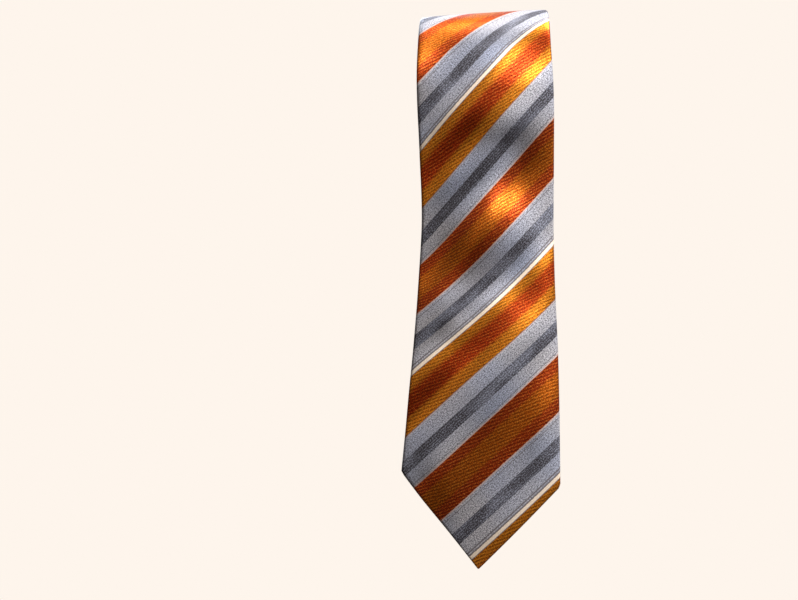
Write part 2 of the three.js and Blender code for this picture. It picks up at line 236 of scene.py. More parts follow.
def edges(s):
    # the left and right edge of the tie at a place along the line
    found = []
    for side, sign in enumerate((-1, 1)):
        if s < backEnd:
            corner = wideBlade["cornerRise"][side]
            x = smoothThrough(wideStopsBySide[side], max(s, corner))
            tip = wideBlade["pointX"] + sign * wideBlade["pointWidth"] / 2
            found.append(mix(tip, x, s / corner) if s < corner else x)
        else:
            x = smoothThrough(narrowStopsBySide[side], min(s, tailCorner))
            tip = narrowBlade["pointX"] + sign * narrowBlade["pointWidth"] / 2
            found.append(mix(x, tip, (s - tailCorner) / (tailEnd - tailCorner)) if s > tailCorner else x)
    return found


def thickness(s):
    atWide = mix(wideBlade["tipThickness"], 1, ease(s / wideBlade["tipRun"]))
    atNarrow = mix(narrowBlade["tipThickness"], 1, ease((tailEnd - s) / narrowBlade["tipRun"]))
    return bladeThickness * min(atWide, atNarrow)


# how the cloth has settled, as soft folds in millimetres and degrees:
# x and z of the middle, turn, reach across, reach along, height
frontFolds = [
    (29, -10, 42, 8, 45, -4),
    (23, -11, 82, 25.3, 62, 12.5),
    (-48, -18, 62, 14.9, 62, 16),
    (-10, -42, 47, 8.2, 34, 6.5),
    (10, -48, -12, 13.4, 31, 2.9),
    (6, -68, 27, 8.2, 25, -3.5),
    (1, -71, 45, 8, 18, 6.3),
    (-20, -79, -8, 26, 11, 3.1),
    (22, -88, 68, 10.2, 19, -6.2),
    (-1, -117, 57, 14.2, 26, 10.1),
    (36, -135, 41, 21.8, 16, 3.7),
    (-36, -149, 58, 8, 52, -3.5),
    (44, -156, 37, 14.8, 13, 3.7),
    (-24, -161, -12, 8.4, 34, 1.2),
    (-1, -162, 42, 8.1, 62, -3.6),
    (55, -162, 3, 26, 11, -8.5),
    (26, -179, 26, 16.2, 25, 5.3),
    (-17, -179, 66, 13.6, 11, 3.3),
    (-10, -186, 57, 11.5, 16, -6.2),
    (7, -203, 76, 25, 36, 8.8),
    (-53, -204, 47, 25.9, 62, 6.4),
    (-12, -206, 46, 8, 61, -4.4),
    (38, -238, 80, 9.5, 25, 5),
    (-33, -278, 63, 16.6, 59, 9.8),
    (-37, -292, 15, 20.8, 11, -2.5),
    (21, -292, 81, 22.2, 62, 4.8),
]
frontCrown = {"height": 4.0, "halfWidth": 50, "middle": 1, "sink": 2.6}  # the edges lie further back
backFolds = [
    (0, -60, -12, 30, 80, 2.5),
    (8, -150, 30, 22, 50, -1.6),
    (-6, -215, 30, 20, 50, 1.4),
]
foldSpread = 1.4  # higher is softer
foldStart = {"below": 6 * mm, "over": 36 * mm}  # below the rail's axis the folds grow in


def foldHeight(folds, x, z):
    total = 0
    for foldX, foldZ, turn, across, along, height in folds:
        turn = math.radians(turn)
        dx, dz = x / mm - foldX, z / mm - foldZ
        u = (dx * math.cos(turn) + dz * math.sin(turn)) / along
        v = (dz * math.cos(turn) - dx * math.sin(turn)) / across
        total += height * math.exp(-(u * u + v * v) / foldSpread)
    return total * mm


def settle(point):
    # moves a point of either hanging length with the folds of that length; the cloth on the rail stays
    fade = ease((foldStart["below"] - point.z) / foldStart["over"])
    if point.y < 0:
        fromMiddle = (point.x / mm - frontCrown["middle"]) / frontCrown["halfWidth"]
        back = (frontCrown["height"] * fromMiddle**2 + frontCrown["sink"]) * mm
        point.y -= fade * (foldHeight(frontFolds, point.x, point.z) - back)
    else:
        point.y += fade * foldHeight(backFolds, point.x, point.z)
    return point


def place(x, s, depth):
    # where a spot lies: sideways, along the line, and in from the face
    side = sidePoint(s)
    slope = hang["railSlope"] * max(0, 1 - max(0, -side.y) / hang["slopeFade"])
    spot = side + inward(s) * depth
    height = spot.y * hang["topRise"] if spot.y > 0 else spot.y
    return settle(Vector((x, spot.x, height + slope * x)))


# how the cloth, cut on the bias, has drawn out of true; each run is where it starts and how long it is
bias = {
    "slip": 15 * mm,  # down at the left, above the middle
    "mostLeft": 1.1,
    "leftRun": (44 * mm, 80 * mm),
    "slipRun": (120 * mm, 95 * mm),
    "backShare": 0.28,  # of the slip, given back nearer the rail
    "backRun": (235 * mm, 70 * mm),
    "behindRun": (railEnd, 120 * mm),
    "stretch": 22 * mm,  # over the rail
    "stretchRun": (frontEnd - 6 * mm, 40 * mm),
}


def grown(s, run):
    return ease((s - run[0]) / run[1])


def patternPlace(across, s, phase=0):
    # where a spot of cloth lies in the woven stripe, in metres across and along
    left = min(bias["mostLeft"], max(0, (bias["leftRun"][0] - across) / bias["leftRun"][1]))
    slip = bias["slip"] * left * grown(s, bias["slipRun"])
    slip *= 1 - bias["backShare"] * grown(s, bias["backRun"])
    slip *= 1 - grown(s, bias["behindRun"])
    overRail = bias["stretch"] * grown(s, bias["stretchRun"])
    return across, s + slip + overRail + phase


# a sheet of cloth, folded into an envelope
sheetCloth = {
    "thickness": 0.3 * mm,
    "turnRadius": 0.36 * mm,  # of a flap's turned-under edge
    "turnUnder": 5 * mm,
    "slit": 0.5 * mm,
    "edgeThin": 0.3,  # how much flatter the envelope is at its edges, as a share
    "rollLimit": 0.9,  # where a piece is narrow, the edge's roll as a share of half its width
    "turnLimit": 0.2,  # and the turned edge as shares of the flap
    "underLimit": 0.5,
    "rowStep": 2.8 * mm,
    "bendStep": 0.7 * mm,
    "seamReach": 70 * mm,  # from a slanted seam, where the rows start to turn
}
ring = {"turn": 3, "flap": 14, "edge": 6, "face": 44}  # faces round each part of the envelope
leastFill = 0.31  # the least area of a piece, as a share of the rectangle that it is cut from
sharpAngle = math.radians(50)


def ringStations():
    # once around the envelope, from the left flap's turned edge by way of the face to the right flap's
    stations = []
    for side, order in (("left", 1), ("right", -1)):
        run = [(side + "Under", 0)]
        run += [(side + "Turn", i / ring["turn"]) for i in range(ring["turn"])]
        run += [(side + "Flap", i / ring["flap"]) for i in range(ring["flap"])]
        run += [(side + "Edge", i / ring["edge"]) for i in range(ring["edge"])]
        stations.append(run[::order])
    face = [("face", i / ring["face"]) for i in range(ring["face"] + 1)]
    return stations[0] + face + stations[1]


def envelopePoint(station, s, flapReach):
    # sideways place, depth from the face, and the place across the flat cloth
    zone, share = station
    left, right = edges(s)
    thick, half, middle = thickness(s), (right - left) / 2, (left + right) / 2
    roll = min(thick / 2, half * sheetCloth["rollLimit"])
    if zone == "face":
        x = mix(left + roll, right - roll, share)
        depth, across = 0, x
    else:
        # worked out as a distance in from the side's edge, then put on its own side
        sign, edge = (1, left) if zone.startswith("left") else (-1, right)
        reach = min(flapReach(s), half - sheetCloth["slit"] / 2)
        turn = min(sheetCloth["turnRadius"], reach * sheetCloth["turnLimit"])
        aroundEdge = math.pi * roll
        part = zone.replace("left", "").replace("right", "")
        if part == "Edge":
            angle = math.pi * share
            inset, depth = roll - roll * math.sin(angle), thick / 2 * (1 + math.cos(angle))
            gone = roll * (math.pi - angle)
        elif part == "Flap":
            inset, depth = mix(reach - turn, roll, share), thick
            gone = aroundEdge + inset - roll
        elif part == "Turn":
            angle = math.pi * (1 - share)
            inset, depth = reach - turn + turn * math.sin(angle), thick - turn + turn * math.cos(angle)
            gone = aroundEdge + reach - roll - turn + turn * angle
        else:
            under = min(sheetCloth["turnUnder"], reach * sheetCloth["underLimit"])
            inset, depth = reach - under, thick - 2 * turn
            gone = aroundEdge + reach - roll + under
        x, across = edge + sign * inset, edge + sign * (roll - gone)
    side = min(1, abs(x - middle) / half)
    depth += (thick / 2 - depth) * sheetCloth["edgeThin"] * side**4
    return x, depth, across


def newPiece(name, bm, material, thickness=0):
    mesh = bpy.data.meshes.new(name)
    bm.to_mesh(mesh)
    bm.free()
    piece = bpy.data.objects.new(name, mesh)
    scene.collection.objects.link(piece)
    mesh.materials.append(material)
    if thickness:
        # the face stays where it is, and the thickness goes inward
        shell = piece.modifiers.new("thickness", "SOLIDIFY")
        shell.thickness, shell.offset = thickness, -1
        bpy.context.view_layer.objects.active = piece
        bpy.ops.object.modifier_apply(modifier=shell.name)
    for face in piece.data.polygons:
        face.use_smooth = True
    piece.data.set_sharp_from_angle(angle=sharpAngle)
    return piece


def layGrid(columns, rows, spotAt):
    # a sheet of columns by rows; spotAt gives each spot's place and its (across, along) in the cloth
    bm = bmesh.new()
    bmesh.ops.create_grid(bm, x_segments=columns, y_segments=rows, size=1)
    uv = bm.loops.layers.uv.new("cloth")
    inCloth = {}
    for vert in bm.verts:
        column = round((vert.co.x + 1) / 2 * columns)
        row = round((vert.co.y + 1) / 2 * rows)
        vert.co, inCloth[vert] = spotAt(column, row)
    for face in bm.faces:
        for loop in face.loops:
            loop[uv].uv = inCloth[loop.vert]
    return bm


def layerArea(bm):
    return sum(face.calc_area() for face in bm.faces)


# the rows are finer over the rail and round the fold of the neck
bends = [
    (frontEnd - 14 * mm, railEnd + 14 * mm),
    (backEnd - 4 * mm, foldEnd + 4 * mm),
    (innerEnd - 8 * mm, innerRailEnd + 8 * mm),
]


def rowPlaces(start, end, step):
    places = [start]
    while places[-1] < end - tiny:
        bent = any(low < places[-1] < high for low, high in bends)
        places.append(min(end, places[-1] + (sheetCloth["bendStep"] if bent else step)))
    return places


def slantTo(s, x, slants):
    # near a slanted seam the rows turn until the last one lies along it
    for seam in slants:
        s += x * ease(1 - abs(s - seam) / sheetCloth["seamReach"])
    return s


def widestOf(places):
    return max(edges(s)[1] - edges(s)[0] for s in places)


def finishSheet(name, bm, material, thickness, flat):
    area = layerArea(bm)
    piece = newPiece(name, bm, material, thickness)
    area = max(area, leastFill * flat[0] * flat[1])
    print(f"{name}: {len(piece.data.polygons)} faces, flat {flat[0]:.3f} by {flat[1]:.3f} m")
    return piece


def layEnvelope(name, start, end, material, flapReach, slants=(), phase=0):
    stations = ringStations()
    places = rowPlaces(start, end, sheetCloth["rowStep"])

    def spotAt(column, row):
        x = envelopePoint(stations[column], places[row], flapReach)[0]
        s = slantTo(places[row], x, slants)
        x, depth, across = envelopePoint(stations[column], s, flapReach)
        return place(x, s, depth), patternPlace(across, s, phase)

    bm = layGrid(len(stations) - 1, len(places) - 1, spotAt)
    flat = (2 * widestOf(places) + 4 * sheetCloth["turnUnder"], end - start)
    return finishSheet(name, bm, material, sheetCloth["thickness"], flat)


# an even layer inside the envelope, such as the felt
strip = {
    "columns": 24,
    "rowStep": 4 * mm,
    "narrowFrom": 2.2,  # insets: a tie that is narrower than this has only a thin strip in its middle
    "narrowShare": 0.1,
    "middle": 0.5,  # of the blade's thickness
    "edgeRise": 0.25,  # how far towards that middle the strip's edges turn
}


def layStrip(name, start, end, material, layer):
    columns = strip["columns"]
    places = rowPlaces(start, end, strip["rowStep"])
    inset = layer["inset"]

    def spotAt(column, row):
        share, s = column / columns, places[row]
        left, right = edges(s)
        x = mix(left + inset, right - inset, share)
        if right - left <= strip["narrowFrom"] * inset:
            x = (left + right) / 2 + (share - 0.5) * strip["narrowShare"] * (right - left)
        side = abs(2 * x - left - right) / (right - left)
        depth = thickness(s) * mix(layer["depth"], strip["middle"], strip["edgeRise"] * side**4)
        return place(x, s, depth), (x, s)

    bm = layGrid(columns, len(places) - 1, spotAt)
    flat = (widestOf(places), end - start)
    return finishSheet(name, bm, material, layer["thickness"], flat)


# the finishes
def colour(red, green, blue):
    # a colour as it looks on a screen, 0 to 255, turned into the light that it gives back
    def toLight(value):
        value /= 255
        return value / 12.92 if value < 0.04 else ((value + 0.055) / 1.055) ** 2.4

    return toLight(red), toLight(green), toLight(blue), 1


class Value:
    # one output of a finish's nodes, and arithmetic on it adds Math nodes
    def __init__(self, finish, socket):
        self.finish = finish
        self.socket = socket

    def output(self, name):
        return Value(self.finish, self.socket.node.outputs[name])

    def __add__(self, other):
        return self.finish.math("ADD", self, other)

    def __sub__(self, other):
        return self.finish.math("SUBTRACT", self, other)

    def __rsub__(self, other):
        return self.finish.math("SUBTRACT", other, self)

    def __mul__(self, other):
        return self.finish.math("MULTIPLY", self, other)

    def __truediv__(self, other):
        return self.finish.math("DIVIDE", self, other)

    def __gt__(self, other):
        return self.finish.math("GREATER_THAN", self, other)

    def __lt__(self, other):
        return self.finish.math("LESS_THAN", self, other)

    __radd__ = __add__
    __rmul__ = __mul__


class Finish:
    # a material, with what is the same all over it set on the shader itself
    def __init__(self, name, uniform):
        self.material = bpy.data.materials.new(name)
        self.material.use_nodes = True
        self.tree = self.material.node_tree
        self.shader = self.tree.nodes["Principled BSDF"]
        self.put(self.shader, uniform)

    def put(self, node, sockets):
        for name, value in sockets.items():
            if isinstance(value, Value):
                self.tree.links.new(value.socket, node.inputs[name])
            else:
                node.inputs[name].default_value = value

    def node(self, kind, settings, sockets):
        made = self.tree.nodes.new(kind)
        for name, value in settings.items():
            if name == "stops":
                self.setStops(made.color_ramp, value)
            elif name == "between":
                made.color_ramp.interpolation = value
            else:
                setattr(made, name, value)
        self.put(made, sockets)
        return Value(self, made.outputs[0])

    def setStops(self, ramp, stops):
        while len(ramp.elements) > 1:
            ramp.elements.remove(ramp.elements[-1])
        ramp.elements[0].position, ramp.elements[0].color = stops[0]
        for position, shade in stops[1:]:
            ramp.elements.new(position).color = shade

    def math(self, operation, *numbers):
        return self.node("ShaderNodeMath", {"operation": operation}, dict(enumerate(numbers)))

    def clear(self, number):
        # kept between 0 and 1
        return self.node("ShaderNodeClamp", {}, {"Value": number})

    def above(self, number, low, steepness):
        # 0 up to low, and from there up to 1
        return self.clear((number - low) * steepness)

    def wave(self, place, length):
        # from 0 to 1 and back over each length
        return self.math("SINE", place * (2 * math.pi / length)) * 0.5 + 0.5

    def mixColours(self, a, b, share, blend="MIX"):
        # a Mix node has several sockets of each name, so its colour sockets go by number
        settings = {"data_type": "RGBA", "blend_type": blend}
        made = self.node("ShaderNodeMix", settings, {0: share, 6: a, 7: b})
        return Value(self, made.socket.node.outputs[2])

    def shaded(self, colour, tone):
        gray = self.node("ShaderNodeCombineColor", {}, {0: tone, 1: tone, 2: tone})
        return self.mixColours(colour, gray, 1.0, "MULTIPLY")

    def noise(self, place, size, detail=2.0, roughness=0.5):
        sockets = {"Vector": place, "Scale": 1 / size, "Detail": detail, "Roughness": roughness}
        return self.node("ShaderNodeTexNoise", {}, sockets)

    def at(self, x, y):
        return self.node("ShaderNodeCombineXYZ", {}, {"X": x, "Y": y})

    def objectPlace(self):
        return self.node("ShaderNodeTexCoord", {}, {}).output("Object")

    def clothPlace(self):
        # metres across and along the cloth
        flat = self.node("ShaderNodeUVMap", {"uv_map": "cloth"}, {})
        split = self.node("ShaderNodeSeparateXYZ", {}, {"Vector": flat})
        return split.output("X"), split.output("Y")

    def finish(self, varying, height, bump, distance=0.3 * mm):
        sockets = {"Strength": bump, "Distance": distance, "Height": height}
        varying["Normal"] = self.node("ShaderNodeBump", {}, sockets)
        self.put(self.shader, varying)
        return self.material


# the striped cloth; sizes are square across the stripes unless they say otherwise
stripe = {
    "angle": math.radians(42.6),
    "repeat": 111.7 * mm,
    "start": 9.35 * mm,  # the first gold band's upper edge below the point
    "fray": 0.7 * mm,  # how far the edge of a band wanders
    "shadeFray": 0.03,  # and the edges of the shades in the orange, as a share of the repeat
    "metal": (0.18, 0.62),  # everywhere, and added on the orange
    "roughness": (0.38, 0.08, 0.1),  # everywhere, added off the orange, and added where the yarn is uneven
    # the third share of this tone lightens the cloth with painted glints
    "tone": {"plain": 0.8, "uneven": 0.2, "paintedGlints": 0.22},  # off the orange
    "wear": (0.92, 0.16),  # the least tone of a worn patch, and how much more elsewhere
    "bump": (0.4, 0.25 * mm),
}
yarn = {"pitch": 0.36 * mm, "uneven": 1.2 * mm, "fleck": 0.62 * mm, "wornPatch": 35 * mm}
satinWeave = {
    "ribAngle": math.radians(20),
    "ribPitch": 2.0 * mm,
    "waver": (22 * mm, 2.2 * mm),  # how long and how far the ribs waver
    "jitter": 0.9 * mm,
    "paintedGlintsAbove": 0.47,  # the painted glints sit where the flecks are brighter than this
    # the satin's tone: ribs, uneven yarn, and painted glints that lighten it
    "tone": {"rib": 0.5, "uneven": 0.55, "paintedGlints": 0.95},
    # how far the painted glints turn the orange towards a pale gold highlight
    "paintedGlint": 0.4,
}
checkedWeave = {
    "wander": (4 * mm, 1.6 * mm),
    "rowPitch": 1.55 * mm,
    "dashPitch": 1.9 * mm,
    "dash": {"rows": 0.45, "flecks": 3.6, "less": 1.95, "steepness": 3},
    "patch": 11 * mm,  # the places where light threads nearly cover the dark
    "cover": {"dashes": 0.55, "more": 0.3, "plain": 0.22},
}
pepperWeave = {
    "twillPitch": 1.15 * mm,
    "light": {"twill": 0.4, "flecks": 4.4, "less": 1.65},
    # the size of the patches of painted cool light on the grey
    "paintedCoolPatch": 70 * mm,
}
dye = {
    "gold": colour(252, 142, 30),
    "amber": colour(230, 110, 16),
    "rust": colour(210, 70, 16),
    "red": colour(232, 72, 16),
    "lightGrey": colour(170, 170, 184),
    "paleGrey": colour(208, 201, 203),
    "pepper": colour(74, 69, 76),
    "charcoal": colour(58, 51, 54),
    "cream": colour(255, 230, 204),
    # a painted highlight colour, put on the satin's glints
    "paintedGlint": colour(255, 186, 84),
    # the pale threads under painted cool light
    "paintedCoolGrey": colour(184, 188, 208),
    "blush": colour(206, 176, 164),
    "darkLine": colour(120, 110, 112),
}
# the woven bands over one repeat, downward: where each starts, and what it is
bands = [
    (0, "orange"),
    (0.2276, "darkLine"),
    (0.2316, "blush"),
    (0.238, "grey"),
    (0.3236, "charcoal"),
    (0.39, "grey"),
    (0.455, "darkLine"),
    (0.4605, "grey"),
    (0.4685, "blush"),
    (0.476, "orange"),
    (0.712, "blush"),
    (0.7215, "grey"),
    (0.735, "darkLine"),
    (0.7415, "grey"),
    (0.816, "charcoal"),
    (0.885, "grey"),
    (0.953, "darkLine"),
    (0.959, "grey"),
    (0.9675, "darkLine"),
    (0.974, "cream"),
    (0.9945, "darkLine"),
]
# the orange bands shade from red to gold and back across their width
orangeShades = [
    (0, "gold"),
    (0.036, "gold"),
    (0.08, "red"),
    (0.145, "red"),
    (0.178, "gold"),
    (0.2276, "gold"),
    (0.476, "rust"),
    (0.528, "rust"),
    (0.55, "amber"),
    (0.638, "amber"),
    (0.66, "rust"),
    (0.712, "rust"),
]


def makeStripedCloth():
    sheen = {"Sheen Weight": 0.06, "Sheen Roughness": 0.4, "Specular IOR Level": 0.4}
    silk = Finish("striped_silk", sheen)
    across, along = silk.clothPlace()
    turn = stripe["angle"]
    p = across * math.cos(turn) + along * math.sin(turn)  # along the stripes
    q = along * math.cos(turn) - across * math.sin(turn)  # square across them, upward
    uneven = silk.noise(silk.at(p / 3, q), yarn["uneven"], 3.0)
    flecks = silk.noise(silk.at(p / 1.5, q), yarn["fleck"], 2.0, 0.7)
    fray = (flecks - 0.5) * stripe["fray"]
    phase = silk.math("FRACT", (stripe["start"] - q + fray) / stripe["repeat"])
    shadePhase = phase + (uneven - 0.5) * stripe["shadeFray"]

    def ramp(stops, at, between="CONSTANT"):
        return silk.node("ShaderNodeValToRGB", {"between": between, "stops": stops}, {"Fac": at})

    # which weave a band has: satin in the red channel, checked in the green, salt and pepper in the blue
    weaves = {"orange": (1, 0, 0, 1), "charcoal": (0, 1, 0, 1), "grey": (0, 0, 1, 1)}
    plain = {"orange": dye["amber"], "charcoal": dye["charcoal"], "grey": dye["lightGrey"]}
    kindStops = [(at, weaves.get(kind, (0, 0, 0, 1))) for at, kind in bands]
    kinds = silk.node("ShaderNodeSeparateColor", {}, {0: ramp(kindStops, phase)})
    satin, checked, pepper = kinds.output("Red"), kinds.output("Green"), kinds.output("Blue")
    base = ramp([(at, plain[kind] if kind in plain else dye[kind]) for at, kind in bands], phase)
    orange = ramp([(at, dye[kind]) for at, kind in orangeShades], shadePhase, "EASE")

    # satin: broken ribs that rise gently to the right, with bright flecks of painted highlight scattered
    # over it
    long, far = satinWeave["waver"]
    waver = silk.noise(silk.at(across, along), long, 1.0) * far
    rise = satinWeave["ribAngle"]
    r = along * math.cos(rise) - across * math.sin(rise) + waver + uneven * satinWeave["jitter"]
    rib = silk.wave(r, satinWeave["ribPitch"])
    # painted highlight: glints where the flecks are brightest
    paintedGlints = silk.above(flecks, satinWeave["paintedGlintsAbove"], 6)
    share = satinWeave["tone"]
    satinTone = rib * share["rib"] + uneven * share["uneven"] + paintedGlints * share["paintedGlints"]
    # the glints turn the orange towards the painted highlight colour
    orange = silk.mixColours(orange, dye["paintedGlint"], paintedGlints * rib * satinWeave["paintedGlint"])

    # charcoal: light dashes in rows along the stripe, and places where they nearly cover the dark
    long, far = checkedWeave["wander"]
    wander = silk.noise(silk.at(p, q), long, 2.0) * far
    dashRow = silk.wave(p + wander * 3, checkedWeave["dashPitch"]) * 0.6 + 0.4
    rows = silk.wave(q + wander, checkedWeave["rowPitch"]) * dashRow
    dash = checkedWeave["dash"]
    dashes = silk.above(rows * dash["rows"] + flecks * dash["flecks"], dash["less"], dash["steepness"])
    covered = silk.above(silk.noise(silk.at(p / 2.5, q), checkedWeave["patch"], 1.0), 0.45, 5)
    cover = checkedWeave["cover"]
    lightShare = dashes * (cover["dashes"] + covered * cover["more"]) + covered * cover["plain"]
    charcoal = silk.mixColours(dye["charcoal"], dye["lightGrey"], silk.clear(lightShare))

    # light grey: light threads peppered with dark ones, with painted cool light that turns the pale
    # threads bluish in random patches
    pitch = pepperWeave["twillPitch"]
    twill = silk.wave(p + q, pitch) * silk.wave(p - q * 0.9, pitch)
    # painted cool light: the pale threads turn bluish in random patches
    paintedCoolLight = silk.above(silk.noise(silk.at(across, along), pepperWeave["paintedCoolPatch"], 1.0), 0.4, 4)
    paleThreads = silk.mixColours(dye["paleGrey"], dye["paintedCoolGrey"], paintedCoolLight)
    light = pepperWeave["light"]
    lightShare = twill * light["twill"] + flecks * light["flecks"] - light["less"]
    grey = silk.mixColours(dye["pepper"], paleThreads, silk.clear(lightShare))

    shade = silk.mixColours(base, orange, satin)
    shade = silk.mixColours(shade, charcoal, checked)
    shade = silk.mixColours(shade, grey, pepper)

    # a little darker in soft, worn patches
    patches = silk.noise(silk.at(across, along), yarn["wornPatch"], 3.0)
    share = stripe["tone"]
    # the painted glints lighten the bands off the orange a little too
    plainTone = share["plain"] + uneven * share["uneven"] + paintedGlints * share["paintedGlints"]
    tone = satin * satinTone + (1 - satin) * plainTone
    least, more = stripe["wear"]
    shade = silk.shaded(shade, tone * (least + patches * more))

    strands = silk.wave(p, yarn["pitch"]) * silk.wave(q, yarn["pitch"] * 0.8)
    height = satin * rib * 0.4 + flecks * 0.7 + strands * 0.3
    everywhere, onOrange = stripe["metal"]
    smooth, onTheRest, whereUneven = stripe["roughness"]
    varying = {
        "Base Color": shade,
        "Metallic": satin * onOrange + everywhere,
        "Roughness": smooth + (1 - satin) * onTheRest + uneven * whereUneven,
    }
    return silk.finish(varying, height, *stripe["bump"])


feltLook = {
    "dark": colour(214, 206, 188),
    "light": colour(240, 235, 222),
    "fuzz": 1.1 * mm,
    "cloud": 14 * mm,
}


def makeFelt():
    felt = Finish("wool_interlining", {"Sheen Weight": 0.4, "Specular IOR Level": 0.2})
    where = felt.objectPlace()
    fuzz = felt.noise(where, feltLook["fuzz"], 5.0, 0.65)
    cloud = felt.noise(where, feltLook["cloud"], 2.0)
    shade = felt.mixColours(feltLook["dark"], feltLook["light"], fuzz * 0.7 + cloud * 0.3)
    return felt.finish({"Base Color": shade, "Roughness": 0.9 + fuzz * 0.08}, fuzz, 0.5)


liningLook = {
    "dark": colour(92, 95, 108),
    "light": colour(138, 142, 156),
    "pitch": (0.32 * mm, 0.5 * mm),  # of its threads, across and along
    "slub": 5 * mm,
}


def makeLining():
    lining = Finish("grey_satin_lining", {"Sheen Weight": 0.2, "Specular IOR Level": 0.5})
    across, along = lining.clothPlace()
    acrossPitch, alongPitch = liningLook["pitch"]
    thread = lining.wave(across, acrossPitch) * 0.5 + lining.wave(along, alongPitch) * 0.5
    slub = lining.noise(lining.at(across * 6, along), liningLook["slub"], 3.0)
    shade = lining.mixColours(liningLook["dark"], liningLook["light"], thread * 0.4 + slub * 0.6)
    varying = {"Base Color": shade, "Metallic": 0.25 + slub * 0.1, "Roughness": 0.3 + slub * 0.14}
    return lining.finish(varying, thread + slub, 0.2, 0.15 * mm)


threadLook = {"dark": colour(150, 84, 30), "light": colour(206, 134, 62), "strand": 0.25 * mm}


def makeGoldThread():
    thread = Finish("gold_thread", {"Sheen Weight": 0.3, "Specular IOR Level": 0.4})
    strand = thread.noise(thread.objectPlace(), threadLook["strand"], 2.0)
    shade = thread.mixColours(threadLook["dark"], threadLook["light"], strand)
    return thread.finish({"Base Color": shade, "Roughness": 0.45 + strand * 0.2}, strand, 0.4, 0.1 * mm)


labels = {
    "maker": {
        "size": (58 * mm, 24 * mm),
        "ground": colour(38, 40, 52),
        "border": colour(176, 150, 104),
        "pitch": 0.34 * mm,
    },
    "care": {
        "size": (13 * mm, 26 * mm),
        "ground": colour(238, 236, 230),
        "border": colour(222, 219, 212),
        "pitch": 0.3 * mm,
    },
}
borderLine = (1.7 * mm, 2.4 * mm)  # in from a label's edge


def makeLabel(name, label):
    # woven tape with a border near its edges; its map is in metres from the middle of the tape
    tape = Finish(name, {"Sheen Weight": 0.15, "Specular IOR Level": 0.5})
    x, y = tape.clothPlace()
    width, height = label["size"]
    toSide = width / 2 - tape.math("ABSOLUTE", x)
    toEnd = height / 2 - tape.math("ABSOLUTE", y)
    inFromEdge = tape.math("MINIMUM", toSide, toEnd)
    line = (inFromEdge > borderLine[0]) * (inFromEdge < borderLine[1])
    threads = tape.wave(x, label["pitch"]) * 0.5 + tape.wave(y, label["pitch"] * 1.6) * 0.5
    uneven = tape.noise(tape.at(x, y * 5), 2 * mm, 3.0)
    woven = tape.mixColours(label["ground"], label["border"], line)
    shade = tape.shaded(woven, 0.78 + threads * 0.2 + uneven * 0.2)
    varying = {"Base Color": shade, "Roughness": 0.34 + uneven * 0.2}
    return tape.finish(varying, threads + line, 0.3, 0.15 * mm)


stripedCloth = makeStripedCloth()
felt = makeFelt()
lining = makeLining()
goldThread = makeGoldThread()
labelSatin = makeLabel("label_satin", labels["maker"])
careTape = makeLabel("care_tape", labels["care"])
print("finishes made")


def turnWith(piece, length):
    # the neck length goes with the back leg, and every other length is fixed where it was laid
    if length == "neck":
        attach(piece, "back_leg")
        return
    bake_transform(piece)


# the woven cloth
flaps = {
    "whole": 1,  # metres: more than half of any width, so that the two flaps meet at the slit
    "opening": 0.9,  # below 1 the flaps part more quickly
}
wideJoin = railEnd - 0.7 * hang["wideFace"]  # the two wide pieces meet behind the rail
narrowJoin = (innerEnd + innerRailEnd) / 2
patternStart = {"neck": 37 * mm, "narrow": -21 * mm}  # the stripe doesn't run on across a seam


def tipReach(blade, meets, corner, s):
    # how far in from its edge a back flap comes, from the slit down to a turned hem at the tip
    left, right = edges(meets)
    opened = min(1, (s - meets) / (corner - meets))
    return mix((right - left) / 2, blade["hemWidth"], opened ** flaps["opening"])


def wideReach(s):
    if s < wideMeets:
        return tipReach(wideBlade, wideMeets, min(wideBlade["cornerRise"]), s)
    return flaps["whole"]


def narrowReach(s):
    if s > tailMeets:
        return tipReach(narrowBlade, tailMeets, tailCorner, s)
    return flaps["whole"]


def fullReach(s):
    return flaps["whole"]


wideFront = layEnvelope(
    "wide_cloth_front", 0, wideJoin, stripedCloth, wideReach
)
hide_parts("wide_blade_front", "wide_blade_over_rail")
turnWith(wideFront, "front")

wideBack = layEnvelope("wide_cloth_back", wideJoin, wideSeam, stripedCloth, fullReach, [wideSeam])
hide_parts("wide_blade_back")
turnWith(wideBack, "back")

neckSeams = [wideSeam, narrowSeam]
neckCloth = layEnvelope(
    "neck_cloth", wideSeam, narrowSeam, stripedCloth, fullReach, neckSeams, patternStart["neck"]
)
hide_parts("neck_piece")
turnWith(neckCloth, "neck")

inNarrow = patternStart["narrow"]
narrowBack = layEnvelope(
    "narrow_cloth_back", narrowSeam, narrowJoin, stripedCloth, fullReach, [narrowSeam], inNarrow
)
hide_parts("narrow_blade_back")
turnWith(narrowBack, "back")

narrowFront = layEnvelope(
    "narrow_cloth_front", narrowJoin, tailEnd, stripedCloth, narrowReach, phase=inNarrow
)
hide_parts("narrow_blade_front", "narrow_blade_over_rail")
turnWith(narrowFront, "front")
print("cloth laid")


